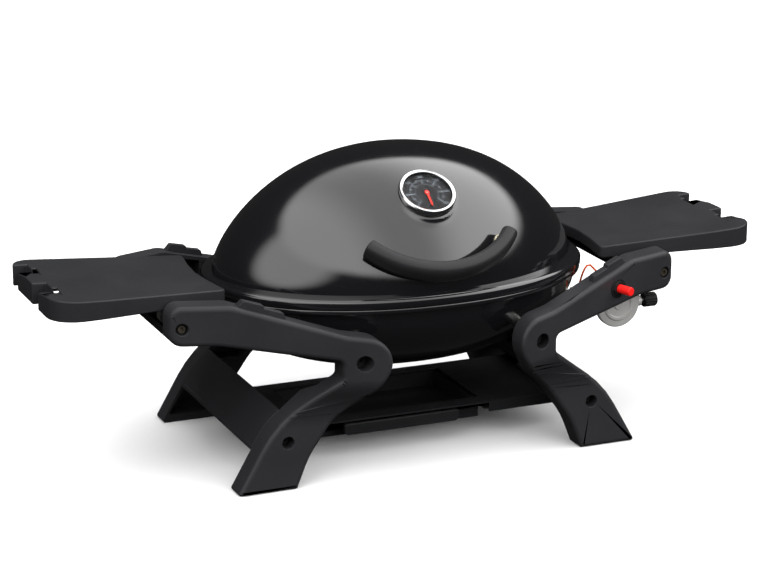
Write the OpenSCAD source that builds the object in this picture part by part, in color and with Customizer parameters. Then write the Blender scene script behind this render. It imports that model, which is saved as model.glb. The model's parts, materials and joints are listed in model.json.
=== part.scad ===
// Portable gas barbecue grill with an oval lidded bowl, four bent legs and two folding side shelves.
// +X is the user's right, -Y is the front, and the four feet stand on Z = 0.
// Sizes are in millimetres.

/* [Lid and bowl] */
// Half width of the oval lid rim
rim_a = 253; // [250:1:254]
// Half depth of the oval lid rim
rim_b = 181; // [178:1:182]
// Height of the lower edge of the lid rim above the floor
rim_z = 221.5; // [221:0.5:223]
// Top of the lid above the floor
lid_top = 386; // [376:1:392]
// Depth of the bowl below its rim
bowl_depth = 112; // [104:1:114]
// Sheet thickness of the lid and the bowl
shell_t = 2; // [1.6:0.1:2.4]

/* [Legs] */
// Thickness of a leg, front to back
leg_t = 32; // [30:0.5:32]
// Front face of the feet, in front of the centre
foot_y = 166; // [165:0.5:167]
// Thickness of the moulded walls of a leg
leg_wall = 4; // [3:0.5:5]

/* [Side shelves] */
// Outer end of a shelf, from the centre
shelf_out = 483; // [478:1:488]
// Inner corners of a shelf, from the centre
shelf_in = 258; // [257:1:262]
// Half depth of a shelf at its inner corners
shelf_half_in = 86; // [80:1:88]
// Half depth of a shelf at its outer end
shelf_half_out = 107; // [100:1:110]
// Height of the lower edge of the shelf skirt
skirt_z = 228; // [228:0.5:230]
// Wall thickness of a shelf
shelf_wall = 3; // [2.5:0.5:4]

/* [Controls] */
// Radius of the thermometer bezel
dial_r = 36.5; // [34:0.5:38]
// Tilt of the thermometer face towards the front, in degrees
dial_tilt = 34; // [32:1:38]
// Radius of the gas regulator housing
regulator_r = 30.5; // [28:0.5:31]
// Travel of the igniter button
button_travel = 6; // [4:0.5:7]

/* [Hidden] */

$fn = 48;

// Oval sections
oval_n = 64;          // points round an oval
rim_power = 2.14;     // squareness of the rim oval
dome_power = 1.89;    // squareness of the dome's ovals

// Dome: it rises from a step inside the rim
dome_a = rim_a - 9.6;
dome_b = rim_b - 10.7;
dome_z = rim_z + 14.2;
dome_h = lid_top - dome_z;
dome_rings = 14;

// Bowl
bowl_a = rim_a - 7;
bowl_b = rim_b - 7;
bowl_z = rim_z - 2.5;
bowl_rings = 12;
grate_z = 196;        // underside of the cooking grates
grate_h = 8;
grate_a = 236;
grate_b = 165;

// Legs: the arm runs back towards its outer end at this slope in plan
arm_slope = 0.3367;
arm_y0 = 240.8;
arm_turn = atan(arm_slope);
knee_lo = 95;         // the lower leg's flat ends here
knee_hi = 128;        // the arm's flat starts here
hinge_x = 330.5;      // shelf hinge axis
hinge_z = 212;
knee_x = 120.3;       // knee screw
knee_z = 164;
calf_x = 208.7;       // screw into the side panel
calf_z = 62.5;
bore_deep = 20;
inner_y = foot_y - leg_t;
arm_end_y = 98.2;     // inner face of the arm round the shelf hinge

// Shelves
shelf_slope = 3.1;    // degrees, rising outwards
shelf_top_in = 243;
rod_r = 6;

// Thermometer centre on the dome
dial_y = -108;
dial_z = 344.5;
seat_deep = 3.2;      // floor of the thermometer seat below the bezel's base

// Igniter position along the arm
igniter_x = 247;
igniter_z = 208;

// Regulator and gas line
regulator_x = 275;
regulator_z = 169;
line_y = -60;
line_z = 168;
electrode_z = 184;
burner_r = 8;
burner_half = 90;
burner_z = 168;

// Drip tray and bottom plate
plate_z = 48;
plate_t = 2;
tray_x = -22;
tray_half = 124;
tray_y0 = -62;
tray_y1 = 78;

function sgn(v) = v < 0 ? -1 : 1;
function pw(v, e) = sgn(v) * pow(abs(v), e);
function oval(a, b, power, count = oval_n) =
    [for (i = [0 : count - 1]) let (t = 360 * i / count)
        [a * pw(cos(t), 2 / power), b * pw(sin(t), 2 / power)]];

// Closed outline whose corners [x, y, r] are rounded with radius r
function rounded(c) = [for (i = [0 : len(c) - 1]) each corner_arc(
    c[(i + len(c) - 1) % len(c)], c[i], c[(i + 1) % len(c)])];
function unit(v) = v / norm(v);
function corner_arc(p, q, n) = let (
        u = unit([p[0] - q[0], p[1] - q[1]]),
        v = unit([n[0] - q[0], n[1] - q[1]]),
        half = acos(max(-1, min(1, u * v))) / 2,
        reach = q[2] / tan(half),
        mid = unit(u + v),
        centre = [q[0], q[1]] + mid * q[2] / sin(half),
        a = [q[0], q[1]] + u * reach - centre,
        b = [q[0], q[1]] + v * reach - centre,
        a0 = atan2(a[1], a[0]),
        turn = (atan2(b[1], b[0]) - a0 + 540) % 360 - 180,
        steps = max(2, ceil(abs(turn) / 10)))
    [for (k = [0 : steps]) centre + q[2] * [cos(a0 + turn * k / steps), sin(a0 + turn * k / steps)]];

// Closed shell lofted through ovals [a, b, z, power], from the rim to the pole outside, then inside
module oval_shell(outer, inner, pole_out, pole_in) {
    m = len(outer);
    n = len(inner);
    points = concat(
        [for (r = outer) each [for (q = oval(r[0], r[1], r[3])) [q[0], q[1], r[2]]]],
        [for (r = inner) each [for (q = oval(r[0], r[1], r[3])) [q[0], q[1], r[2]]]],
        [[0, 0, pole_out], [0, 0, pole_in]]);
    base = m * oval_n;
    top = (m + n) * oval_n;
    up = pole_out > outer[0][2];
    faces = concat(
        [for (k = [0 : m - 2], i = [0 : oval_n - 1]) let (j = (i + 1) % oval_n)
            each [[k * oval_n + i, (k + 1) * oval_n + i, k * oval_n + j],
                  [k * oval_n + j, (k + 1) * oval_n + i, (k + 1) * oval_n + j]]],
        [for (i = [0 : oval_n - 1]) [(m - 1) * oval_n + i, top, (m - 1) * oval_n + (i + 1) % oval_n]],
        [for (k = [0 : n - 2], i = [0 : oval_n - 1]) let (j = (i + 1) % oval_n)
            each [[base + k * oval_n + j, base + (k + 1) * oval_n + i, base + k * oval_n + i],
                  [base + (k + 1) * oval_n + j, base + (k + 1) * oval_n + i, base + k * oval_n + j]]],
        [for (i = [0 : oval_n - 1])
            [base + (n - 1) * oval_n + (i + 1) % oval_n, top + 1, base + (n - 1) * oval_n + i]],
        [for (i = [0 : oval_n - 1]) let (j = (i + 1) % oval_n)
            each [[i, j, base + i], [j, base + j, base + i]]]);
    polyhedron(points, up ? faces : [for (f = faces) [f[2], f[1], f[0]]]);
}

// Rings of the dome: the horizontal size follows sin(t), the height follows cos(t)
function dome_ring(t, inset) = [
    (dome_a - inset) * pow(sin(t), 2 / 2.24), (dome_b - inset) * pow(sin(t), 2 / 2.24),
    dome_z + (dome_h - inset) * pow(cos(t), 2 / 1.47), dome_power];

module lid_shell() {
    color([0.03, 0.03, 0.035])
    difference() {
        union() {
            dial_seat();
            oval_shell(
                concat([[rim_a, rim_b, rim_z, rim_power],
                        [rim_a + 0.5, rim_b + 0.5, rim_z + 9, rim_power],
                        [rim_a - 2.5, rim_b - 2.5, rim_z + 12, rim_power],
                        [dome_a + 3, dome_b + 3, dome_z - 1.2, 2.05]],
                       [for (k = [0 : dome_rings - 1]) dome_ring(90 - 86 * k / dome_rings, 0)]),
                concat([[rim_a - shell_t, rim_b - shell_t, rim_z, rim_power],
                        [rim_a - shell_t, rim_b - shell_t, rim_z + 8, rim_power],
                        [rim_a - shell_t - 2, rim_b - shell_t - 2, rim_z + 10, rim_power],
                        [dome_a - 1, dome_b - 1, dome_z - 3, 2]],
                       [for (k = [0 : dome_rings - 1]) dome_ring(90 - 86 * k / dome_rings, shell_t)]),
                lid_top, lid_top - shell_t);
        }
        at_dial() {
            cylinder(r = 5.2, h = 60, center = true);
            translate([0, 0, -seat_deep]) cylinder(r = dial_r + 0.3, h = 40, $fn = 96);
        }
        handle_ends() rotate([-90, 0, 0]) cylinder(r = 2.7, h = 60, center = true);
    }
}

// Round seat pressed into the lid, which carries the thermometer clear of the curved dome
module dial_seat() {
    difference() {
        at_dial() translate([0, 0, -25]) cylinder(r = dial_r + 2, h = 25 - seat_deep, $fn = 96);
        oval_solid([for (k = [dome_rings - 1 : -1 : 0]) dome_ring(90 - 86 * k / dome_rings, shell_t / 2)]);
    }
    at_dial() translate([0, 0, -seat_deep - shell_t]) cylinder(r = dial_r + 2, h = shell_t, $fn = 96);
}

// Places children on the thermometer axis, +Z out of the lid
module at_dial() {
    translate([0, dial_y, dial_z]) rotate([dial_tilt, 0, 0]) children();
}

// Lid handle: an arc of radius handle_r in a plane that tips down towards the front
handle_r = 124;
handle_span = 53;   // half angle of the arc
handle_tip = 37;      // tilt of the arc's plane
handle_z = 293;
handle_y = -150;
handle_x = handle_r * sin(handle_span);
handle_deep = 21;     // section of the grip across the arc
handle_wide = 27;     // section of the grip along the arc's axis

module handle_plane() {
    translate([0, handle_y + handle_r * cos(handle_span) * cos(handle_tip),
        handle_z + handle_r * cos(handle_span) * sin(handle_tip)])
        rotate([handle_tip, 0, 0]) children();
}

module lid_handle() {
    color([0.1, 0.1, 0.105])
    difference() {
        handle_plane() rotate([0, 0, -90 - handle_span])
            rotate_extrude(angle = 2 * handle_span, $fn = 96)
                translate([handle_r - 4, 0]) polygon(rounded(
                    [[-handle_deep / 2, -handle_wide / 2, 10], [handle_deep / 2, -handle_wide / 2, 10],
                    [handle_deep / 2, handle_wide / 2, 10], [-handle_deep / 2, handle_wide / 2, 10]]));
        handle_ends() rotate([-90, 0, 0]) {
            translate([0, 0, -8]) cylinder(r = 2.6, h = 40);
            translate([0, 0, 8]) cylinder(r = 8.2, h = 20);
        }
    }
}

// The two screw axes of the handle: origin at the handle, children's +Y into the lid
module handle_ends() {
    for (s = [-1, 1]) translate([s * (handle_x - 9), handle_y, handle_z - 4]) rotate([-30, 0, s * 24])
        children();
}

module handle_spacers() {
    color([0.72, 0.7, 0.6])
    difference() {
        handle_ends() rotate([-90, 0, 0]) translate([0, 0, 8]) cylinder(r = 8, h = 8);
        handle_ends() rotate([-90, 0, 0]) cylinder(r = 2.7, h = 20);
        oval_solid([for (k = [dome_rings - 1 : -1 : 0]) dome_ring(90 - 86 * k / dome_rings, 0)]);
    }
}

module handle_screws() {
    color([0.7, 0.7, 0.7])
    handle_ends() rotate([-90, 0, 0]) {
        cylinder(r = 2.5, h = 28);
        translate([0, 0, 28]) cylinder(r = 5, h = 3.5);
    }
}

module thermometer_bezel() {
    color([0.8, 0.8, 0.8])
    at_dial() rotate_extrude($fn = 96) polygon([
        [dial_r - 1.5, -1], [dial_r - 0.5, -1], [dial_r - 0.5, 2], [dial_r, 2.6], [dial_r, 5.4],
        [dial_r - 1, 6.8], [dial_r - 3, 7.4], [dial_r - 4.6, 6.6], [dial_r - 4.6, 4.8], [dial_r - 1.5, 4.8]]);
}

module thermometer_housing() {
    color([0.62, 0.62, 0.62])
    at_dial() difference() {
        translate([0, 0, -3]) cylinder(r = dial_r - 1.6, h = 6.7, $fn = 96);
        translate([0, 0, -1.8]) cylinder(r = dial_r - 2.8, h = 7, $fn = 96);
        translate([0, 0, -4]) cylinder(r = 5.1, h = 8);
    }
}

module thermometer_dial() {
    color([0.04, 0.04, 0.05])
    at_dial() translate([0, 0, 1.2]) difference() {
        cylinder(r = dial_r - 2.9, h = 0.8, $fn = 96);
        translate([0, 0, -1]) cylinder(r = 1.3, h = 3);
    }
}

module thermometer_lens() {
    color([0.9, 0.95, 1, 0.25])
    at_dial() translate([0, 0, 3.75]) cylinder(r = dial_r - 1.6, h = 1, $fn = 96);
}

module thermometer_needle() {
    color([0.75, 0.1, 0.08])
    at_dial() difference() {
        union() {
            translate([0, 0, 2.3]) cylinder(r = 3.2, h = 1.2);
            translate([0, 0, 2.5]) linear_extrude(0.8)
                polygon([[-1.6, 4], [1.6, 4], [1.2, -20], [0, -22], [-1.2, -20]]);
        }
        translate([0, 0, 2]) cylinder(r = 1.05, h = 4);
    }
}

module thermometer_probe() {
    color([0.75, 0.75, 0.75])
    at_dial() {
        translate([0, 0, -3.2]) mirror([0, 0, 1]) cylinder(r = 4.8, h = 20);
        translate([0, 0, -22]) mirror([0, 0, 1]) cylinder(r = 2.5, h = 40);
        translate([0, 0, -4]) cylinder(r = 1, h = 7.2);
        translate([0, 0, -3.2]) cylinder(r = 4.8, h = 1.2);
    }
}

module thermometer_nut() {
    color([0.75, 0.75, 0.75])
    at_dial() translate([0, 0, -20]) difference() {
        union() {
            cylinder(r = 8, h = 4, $fn = 6);
            translate([-15, -1.2, 0]) cube([30, 2.4, 4]);
        }
        translate([0, 0, -1]) cylinder(r = 4.85, h = 6);
    }
}

// Lid hinge: two pins behind the rim
hinge_pin_y = rim_b + 15;
hinge_pin_z = rim_z + 4;
hinge_pin_xs = [-70, 70];

module lid_hinge_leaves() {
    color([0.15, 0.15, 0.16])
    difference() {
        for (x = hinge_pin_xs) translate([x - 9.7, 0, 0]) {
            translate([0, hinge_pin_y, hinge_pin_z]) rotate([0, 90, 0]) cylinder(r = 6, h = 19.4);
            translate([0, rim_b - 14, hinge_pin_z - 2]) cube([19.4, 29, 4.5]);
        }
        hinge_axis() cylinder(r = 3.05, h = 300, center = true);
        oval_solid([[rim_a + 0.5, rim_b + 0.5, rim_z + 9, rim_power], [rim_a, rim_b, rim_z, rim_power]]);
    }
}

// The hinge axis, running along X
module hinge_axis() {
    translate([0, hinge_pin_y, hinge_pin_z]) rotate([0, 90, 0]) children();
}

module bowl_hinge_leaves() {
    arm = 6;
    color([0.15, 0.15, 0.16])
    difference() {
        for (x = hinge_pin_xs) translate([x, 0, 0]) {
            for (s = [-1, 1]) translate([s * 13 - arm / 2, 0, 0]) {
                translate([0, hinge_pin_y, hinge_pin_z]) rotate([0, 90, 0]) cylinder(r = arm, h = arm);
                translate([0, hinge_pin_y - arm, bowl_z - 15]) cube([arm, 2 * arm, hinge_pin_z - bowl_z + 15]);
                translate([0, bowl_b - 16, bowl_z - 15]) cube([arm, 39, 8.5]);
            }
            translate([-16, bowl_b - 18, bowl_z - 32]) cube([32, 16, 25.5]);
        }
        hinge_axis() cylinder(r = 3.02, h = 300, center = true);
        oval_solid(bowl_outside());
        rivet_sites() rotate([-90, 0, 0]) translate([0, 0, -30]) cylinder(r = 2, h = 60);
    }
}

module hinge_pins() {
    color([0.7, 0.7, 0.7])
    for (x = hinge_pin_xs) translate([x - 18, hinge_pin_y, hinge_pin_z]) rotate([0, 90, 0]) {
        cylinder(r = 3, h = 36);
        translate([0, 0, -1.5]) cylinder(r = 4.5, h = 1.5);
    }
}

// Rivets through the bowl wall, two to a hinge, along Y
module rivet_sites() {
    for (x = hinge_pin_xs, s = [-9, 9]) translate([x + s, bowl_b - 2, bowl_z - 27]) children();
}

module hinge_rivets() {
    color([0.7, 0.7, 0.7])
    rivet_sites() rotate([90, 0, 0]) {
        cylinder(r = 1.95, h = 14);
        translate([0, 0, -1.5]) cylinder(r = 3.2, h = 1.5);
    }
}

function bowl_ring(t, inset) = [
    (bowl_a - inset) * pow(sin(t), 2 / 2.3), (bowl_b - inset) * pow(sin(t), 2 / 2.3),
    bowl_z - (bowl_depth - inset) * pow(cos(t), 2 / 2), rim_power];

module bowl() {
    ledge = 10;
    color([0.03, 0.03, 0.035])
    difference() {
        oval_shell(
            concat([[rim_a - 1, rim_b - 1, bowl_z + 2, rim_power],
                    [rim_a - 1, rim_b - 1, bowl_z - 4, rim_power]],
                   bowl_outside()),
            concat([[bowl_a - 4, bowl_b - 4, bowl_z + 2, rim_power],
                    [bowl_a - 4, bowl_b - 4, grate_z, rim_power],
                    [bowl_a - 4 - ledge, bowl_b - 4 - ledge, grate_z - 0.2, rim_power],
                    [bowl_a - 4 - ledge, bowl_b - 4 - ledge, grate_z - 6, rim_power]],
                   [for (k = [3 : bowl_rings]) bowl_ring(90 - 86 * k / bowl_rings, shell_t)]),
            bowl_z - bowl_depth, bowl_z - bowl_depth + shell_t);
        knee_sites() translate([0, 60, 0]) rotate([90, 0, 0]) cylinder(r = 3.2, h = 60);
        translate([0, 0, bowl_z - bowl_depth - 5]) cylinder(r = 9, h = 20);
        translate([190, line_y, line_z]) rotate([0, 90, 0]) cylinder(r = 10.5, h = 50);
        translate([190, -78, electrode_z]) rotate([0, 90, 0]) cylinder(r = 4, h = 60);
        rivet_sites() translate([0, -30, 0]) rotate([-90, 0, 0]) cylinder(r = 2, h = 60);
    }
}

// Outer rings of the bowl below its rolled rim
function bowl_outside() = concat([[bowl_a + 1, bowl_b + 1, bowl_z - 6, rim_power]],
    [for (k = [1 : bowl_rings]) bowl_ring(90 - 86 * k / bowl_rings, 0)]);

// Solid lofted through a stack of ovals
module oval_solid(rings) {
    m = len(rings);
    polyhedron(
        [for (r = rings) each [for (q = oval(r[0], r[1], r[3])) [q[0], q[1], r[2]]]],
        concat(
            [for (k = [0 : m - 2], i = [0 : oval_n - 1]) let (j = (i + 1) % oval_n)
                each [[k * oval_n + i, k * oval_n + j, (k + 1) * oval_n + i],
                      [k * oval_n + j, (k + 1) * oval_n + j, (k + 1) * oval_n + i]]],
            [[for (i = [oval_n - 1 : -1 : 0]) i]],
            [[for (i = [0 : oval_n - 1]) (m - 1) * oval_n + i]]));
}

// The four places where a knee holds the bowl: origin at the spacer's inner end, +Y towards the bowl
module knee_sites() {
    for (sx = [0, 1], sy = [0, 1]) mirror([sx, 0, 0]) mirror([0, sy, 0])
        translate([knee_x, -150, knee_z]) children();
}

module grate(side) {
    bar = 6;
    pitch = 15;
    color([0.12, 0.12, 0.12])
    translate([0, 0, grate_z]) linear_extrude(grate_h) intersection() {
        union() {
            difference() {
                polygon(oval(grate_a, grate_b, rim_power, 96));
                polygon(oval(grate_a - 9, grate_b - 9, rim_power, 96));
            }
            intersection() {
                polygon(oval(grate_a - 2, grate_b - 2, rim_power, 96));
                union() {
                    for (k = [0 : 15]) translate([side * (4 + k * pitch) - bar / 2, -grate_b])
                        square([bar, 2 * grate_b]);
                    for (y = [-80, 0, 80]) translate([-grate_a, y - 4]) square([2 * grate_a, 8]);
                }
            }
        }
        translate([side > 0 ? 1 : -grate_a - 1, -grate_b - 1]) square([grate_a, 2 * grate_b + 2]);
    }
}
module grate_left() { grate(-1); }
module grate_right() { grate(1); }

// Closed loop of round tube: two straights and two half circles
module tube_loop(r) {
    for (s = [-1, 1]) {
        translate([-burner_half, s * 60, 0]) rotate([0, 90, 0]) cylinder(r = r, h = 2 * burner_half);
        translate([s * burner_half, 0, 0]) difference() {
            rotate_extrude() translate([60, 0]) circle(r = r);
            translate([s > 0 ? -100 : 0, -100, -20]) cube([100, 200, 40]);
        }
    }
}

module burner_tube() {
    color([0.55, 0.55, 0.55])
    translate([0, 0, burner_z]) difference() {
        union() {
            tube_loop(burner_r);
            translate([burner_half, line_y, 0]) rotate([0, 90, 0]) cylinder(r = burner_r, h = 92);
        }
        tube_loop(burner_r - 1.2);
        translate([burner_half - 10, line_y, 0]) rotate([0, 90, 0]) cylinder(r = burner_r - 1.2, h = 110);
        for (s = [-1, 1], k = [-5 : 5]) translate([k * 15, s * 60, 0]) cylinder(r = 1, h = 20);
    }
}

module burner_brackets() {
    color([0.6, 0.6, 0.6])
    for (s = [-1, 1]) translate([s * 55, 0, 0]) difference() {
        union() {
            translate([-6, -70, burner_z - burner_r - 2.2]) cube([12, 140, 2]);
            translate([-6, -1, bowl_bottom(61.5)]) cube([12, 2, burner_z - burner_r - 2 - bowl_bottom(61.5)]);
        }
        translate([0, 0, burner_z]) tube_loop(burner_r + 0.05);
    }
}

// Height of the bowl's inner floor at distance x along its length
function bowl_bottom(x) = let (s = pow(x / (bowl_a - shell_t), 2.3 / 2))
    bowl_z - (bowl_depth - shell_t) * sqrt(1 - s * s);

module venturi_tube() {
    color([0.6, 0.6, 0.6])
    translate([184, line_y, line_z]) rotate([0, 90, 0]) difference() {
        cylinder(r = 9.8, h = 62);
        translate([0, 0, -1]) cylinder(r = 8.05, h = 70);
        translate([0, 0, 50]) rotate([90, 0, 0]) cylinder(r = 4, h = 40, center = true);
    }
}

module gas_jet() {
    color([0.75, 0.6, 0.25])
    translate([238, line_y, line_z]) rotate([0, 90, 0]) {
        cylinder(r = 4.4, h = 27);
        translate([0, 0, 11]) cylinder(r = 7.5, h = 7, $fn = 6);
    }
}

// Stub on the regulator's outer side that holds the control spindle
module valve_body() {
    color([0.6, 0.6, 0.58])
    translate([regulator_x + 16, -98.5, line_z]) rotate([0, 90, 0]) difference() {
        union() {
            cylinder(r = 7, h = 20);
            translate([0, 0, 15.5]) cylinder(r = 7, h = 5, $fn = 6);
        }
        translate([0, 0, 5]) cylinder(r = 4.05, h = 30);
    }
}

module regulator_housing() {
    color([0.75, 0.75, 0.74])
    translate([regulator_x, -106, regulator_z]) rotate([-90, 0, 0]) difference() {
        union() {
            cylinder(r = regulator_r, h = 5, $fn = 96);
            translate([0, 0, 5]) cylinder(r = regulator_r - 3, h = 13, $fn = 96);
            translate([0, 0, 18]) cylinder(r = 14, h = 6);
        }
        translate([16, 1, 7.5]) rotate([0, 90, 0]) cylinder(r = 7, h = 40);
    }
}

module regulator_cap() {
    color([0.8, 0.8, 0.78])
    translate([regulator_x, -106, regulator_z]) rotate([90, 0, 0]) rotate_extrude($fn = 96) polygon([
        [0, 0], [regulator_r, 0], [regulator_r, 1.4], [regulator_r - 1.5, 2.6], [22, 3.2], [20, 4.6],
        [17, 4.6], [16, 3.4], [7, 3.4], [6, 5], [0, 5]]);
}

// Block behind the regulator that leads the gas to the jet
module gas_elbow() {
    color([0.6, 0.6, 0.58])
    difference() {
        translate([regulator_x - 19, -80, line_z - 11]) cube([36, 32, 22]);
        translate([regulator_x - 20, line_y, line_z]) rotate([0, 90, 0]) cylinder(r = 4.5, h = 12);
    }
}

// Angle that hangs the regulator from the arm
module regulator_bracket() {
    plate = 2;
    top = regulator_z + regulator_r + 1;
    back = -(arm_y0 - arm_slope * regulator_x) + leg_t;
    color([0.3, 0.3, 0.3])
    difference() {
        union() {
            translate([regulator_x + 4, back - 5, top]) cube([24, -78 - back + 5, plate]);
            translate([regulator_x + 17.5, -82, line_z + 4]) cube([plate, 20, top - line_z - 2]);
            translate([regulator_x + 4, back - 5, top]) cube([24, 20, 26]);
        }
        leg_slab(0, leg_t);
        translate([regulator_x, -200, top + plate]) rotate([0, 0, arm_turn])
            translate([-60, 84 + plate, 0]) cube([160, 100, 60]);
    }
}

module gas_inlet() {
    color([0.75, 0.6, 0.25])
    translate([regulator_x, -48, line_z]) rotate([-90, 0, 0]) difference() {
        union() {
            cylinder(r = 9, h = 7, $fn = 6);
            translate([0, 0, 7]) cylinder(r = 6.5, h = 12);
        }
        translate([0, 0, 4]) cylinder(r = 3.5, h = 20);
    }
}

module control_spindle() {
    color([0.8, 0.8, 0.8])
    translate([regulator_x + 22, -98.5, line_z]) rotate([0, 90, 0]) difference() {
        cylinder(r = 4, h = 33);
        translate([3, -5, 24]) cube([6, 10, 12]);
    }
}

module control_knob() {
    color([0.06, 0.06, 0.06])
    translate([316, -98.5, line_z]) rotate([0, 90, 0]) difference() {
        union() {
            cylinder(r = 8.6, h = 18);
            for (k = [0 : 15]) rotate([0, 0, k * 22.5]) translate([8.3, 0, 1]) cylinder(r = 1.2, h = 16);
        }
        difference() {
            translate([0, 0, -1]) cylinder(r = 4.02, h = 15.5);
            translate([3.02, -5, 5.2]) cube([6, 10, 12]);
        }
    }
}

// Igniter axis: +Z points out of the arm's front face
module at_igniter() {
    translate([igniter_x, -(arm_y0 - arm_slope * igniter_x), igniter_z])
        rotate([0, 0, arm_turn]) rotate([90, 0, 0]) children();
}

module igniter_body() {
    color([0.08, 0.08, 0.08])
    at_igniter() difference() {
        union() {
            translate([0, 0, -15]) cylinder(r = 8.5, h = 17);
            translate([0, 0, -38]) cylinder(r = 11, h = 23.5);
            for (x = [-5, 5]) translate([x - 1.5, -0.4, -44]) cube([3, 0.8, 7]);
        }
        translate([0, 0, -12]) cylinder(r = 5.85, h = 30);
    }
}

module igniter_collar() {
    color([0.2, 0.2, 0.2])
    at_igniter() difference() {
        union() {
            cylinder(r = 12.4, h = 1.8);
            translate([0, 0, 1.8]) cylinder(r = 10, h = 2.2, $fn = 8);
        }
        translate([0, 0, -1]) cylinder(r = 8.6, h = 3.05);
        translate([0, 0, -1]) cylinder(r = 5.9, h = 8);
    }
}

module igniter_nut() {
    color([0.2, 0.2, 0.2])
    at_igniter() translate([0, 0, -leg_wall - 5.5]) difference() {
        cylinder(r = 13, h = 5, $fn = 6);
        translate([0, 0, -1]) cylinder(r = 8.55, h = 8);
    }
}

module igniter_button() {
    color([0.85, 0.05, 0.05])
    at_igniter() {
        translate([0, 0, -4]) cylinder(r = 5.8, h = button_travel + 20.4);
        translate([0, 0, button_travel + 16.4]) rotate_extrude() polygon(
            [[0, 0], [5.8, 0], [5.5, 0.8], [4.8, 1.4], [0, 1.6]]);
    }
}

module electrode_insulator() {
    color([0.92, 0.9, 0.85])
    translate([182, -78, electrode_z]) rotate([0, 90, 0]) cylinder(r = 3.9, h = 48);
}

module electrode_rod() {
    color([0.6, 0.6, 0.6])
    translate([118, -78, electrode_z]) rotate([0, 90, 0]) cylinder(r = 1.2, h = 64);
    translate([119.2, -78, electrode_z]) mirror([0, 0, 1]) cylinder(r = 1.2, h = 6);
}

// Leads: round tubes along routes of chosen points
lead_r = 1.4;
ignition_route = [[231.6, -78, 184], [233, -79.5, 187], [231, -84, 196], [234, -92, 202], [238, -100, 206],
    [243, -108, 208.4], [248.8, -115.4, 208.4]];
earth_route = [[213, -90, 193], [219, -91, 194.5], [225, -92, 198],
    [226, -94, 205], [227, -96, 212], [229.5, -97, 219], [233, -97, 223.5],
    [238, -97, 224], [242, -101, 219], [246, -106, 213], [252, -109, 209.2], [258.3, -112.2, 208.4]];

// Tube of eight sides swept along a route
module lead(route) {
    sides = 8;
    m = len(route);
    dirs = [for (i = [0 : m - 1]) unit(route[min(i + 1, m - 1)] - route[max(i - 1, 0)])];
    points = [for (i = [0 : m - 1]) let (u = unit(cross(dirs[i], [0, 0.3, 1])), v = cross(dirs[i], u))
        each [for (k = [0 : sides - 1]) route[i] + lead_r * (u * cos(k * 45) + v * sin(k * 45))]];
    polyhedron(points, concat(
        [for (i = [0 : m - 2], k = [0 : sides - 1]) let (j = (k + 1) % sides)
            each [[i * sides + k, (i + 1) * sides + k, i * sides + j],
                  [i * sides + j, (i + 1) * sides + k, (i + 1) * sides + j]]],
        [[for (k = [0 : sides - 1]) k]],
        [[for (k = [sides - 1 : -1 : 0]) (m - 1) * sides + k]]));
}
module ignition_lead() { color([0.05, 0.05, 0.05]) lead(ignition_route); }
module earth_lead() { color([0.7, 0.2, 0.1]) lead(earth_route); }

// Side view of a leg: foot, outer edge, notch, arm, knee and inner edge
leg_outline = [[275, 0, 3], [228, 81.5, 150], [145, 144, 8], [145, 166.5, 8], [290, 189.5, 60],
    [345, 189.5, 15], [345, 240, 15], [273.5, 240, 30], [140, 199, 40], [87, 192, 31],
    [87, 155, 34], [104, 124, 40], [150, 82, 80], [180, 40, 100], [196, 0, 3]];

// Hollows in the back of a leg, which leave walls and ribs
leg_pockets = [
    [[200, 10, 3], [266, 10, 3], [243, 46, 3], [182, 46, 3]],
    [[160, 80, 3], [218, 80, 3], [172, 115, 3], [120, 115, 3]],
    [[158, 175, 3], [214, 182, 3], [214, 217, 3], [158, 200, 3]],
    [[218, 183, 3], [280, 193, 3], [280, 235.5, 3], [218, 218.5, 3]],
    [[284, 194, 3], [310, 194, 3], [310, 236, 3], [284, 236, 3]]];

// Extrudes an outline drawn in X and Z along Y
module along_y(corners) {
    translate([0, 300, 0]) rotate([90, 0, 0]) linear_extrude(600) polygon(rounded(corners));
}

// Bent slab that gives a leg its front face: flat lower leg, swept-back arm and the bend between
module leg_slab(shift, t) {
    front = function (x) -(arm_y0 - arm_slope * x) + shift;
    translate([60, -foot_y + shift, -1]) cube([240, t, knee_lo + 1]);
    translate([0, 0, knee_hi]) linear_extrude(140) polygon(
        [[60, front(60)], [360, front(360)], [360, front(360) + t], [60, front(60) + t]]);
    hull() {
        translate([70, -foot_y + shift, knee_lo - 0.5]) cube([160, t, 0.5]);
        translate([0, 0, knee_hi]) linear_extrude(0.5) polygon(
            [[70, front(70)], [230, front(230)], [230, front(230) + t], [70, front(70) + t]]);
    }
}

// Stepped ridge along the arm's top, part of the shelf's catch
catch_outline = [[206, 208, 1], [211, 228, 2], [234, 234.5, 2], [234, 238, 1], [257, 244.5, 3], [270, 230, 1]];
catch_inset = 9;      // how far the ridge stands behind the arm's front face
catch_t = 12;

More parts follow.
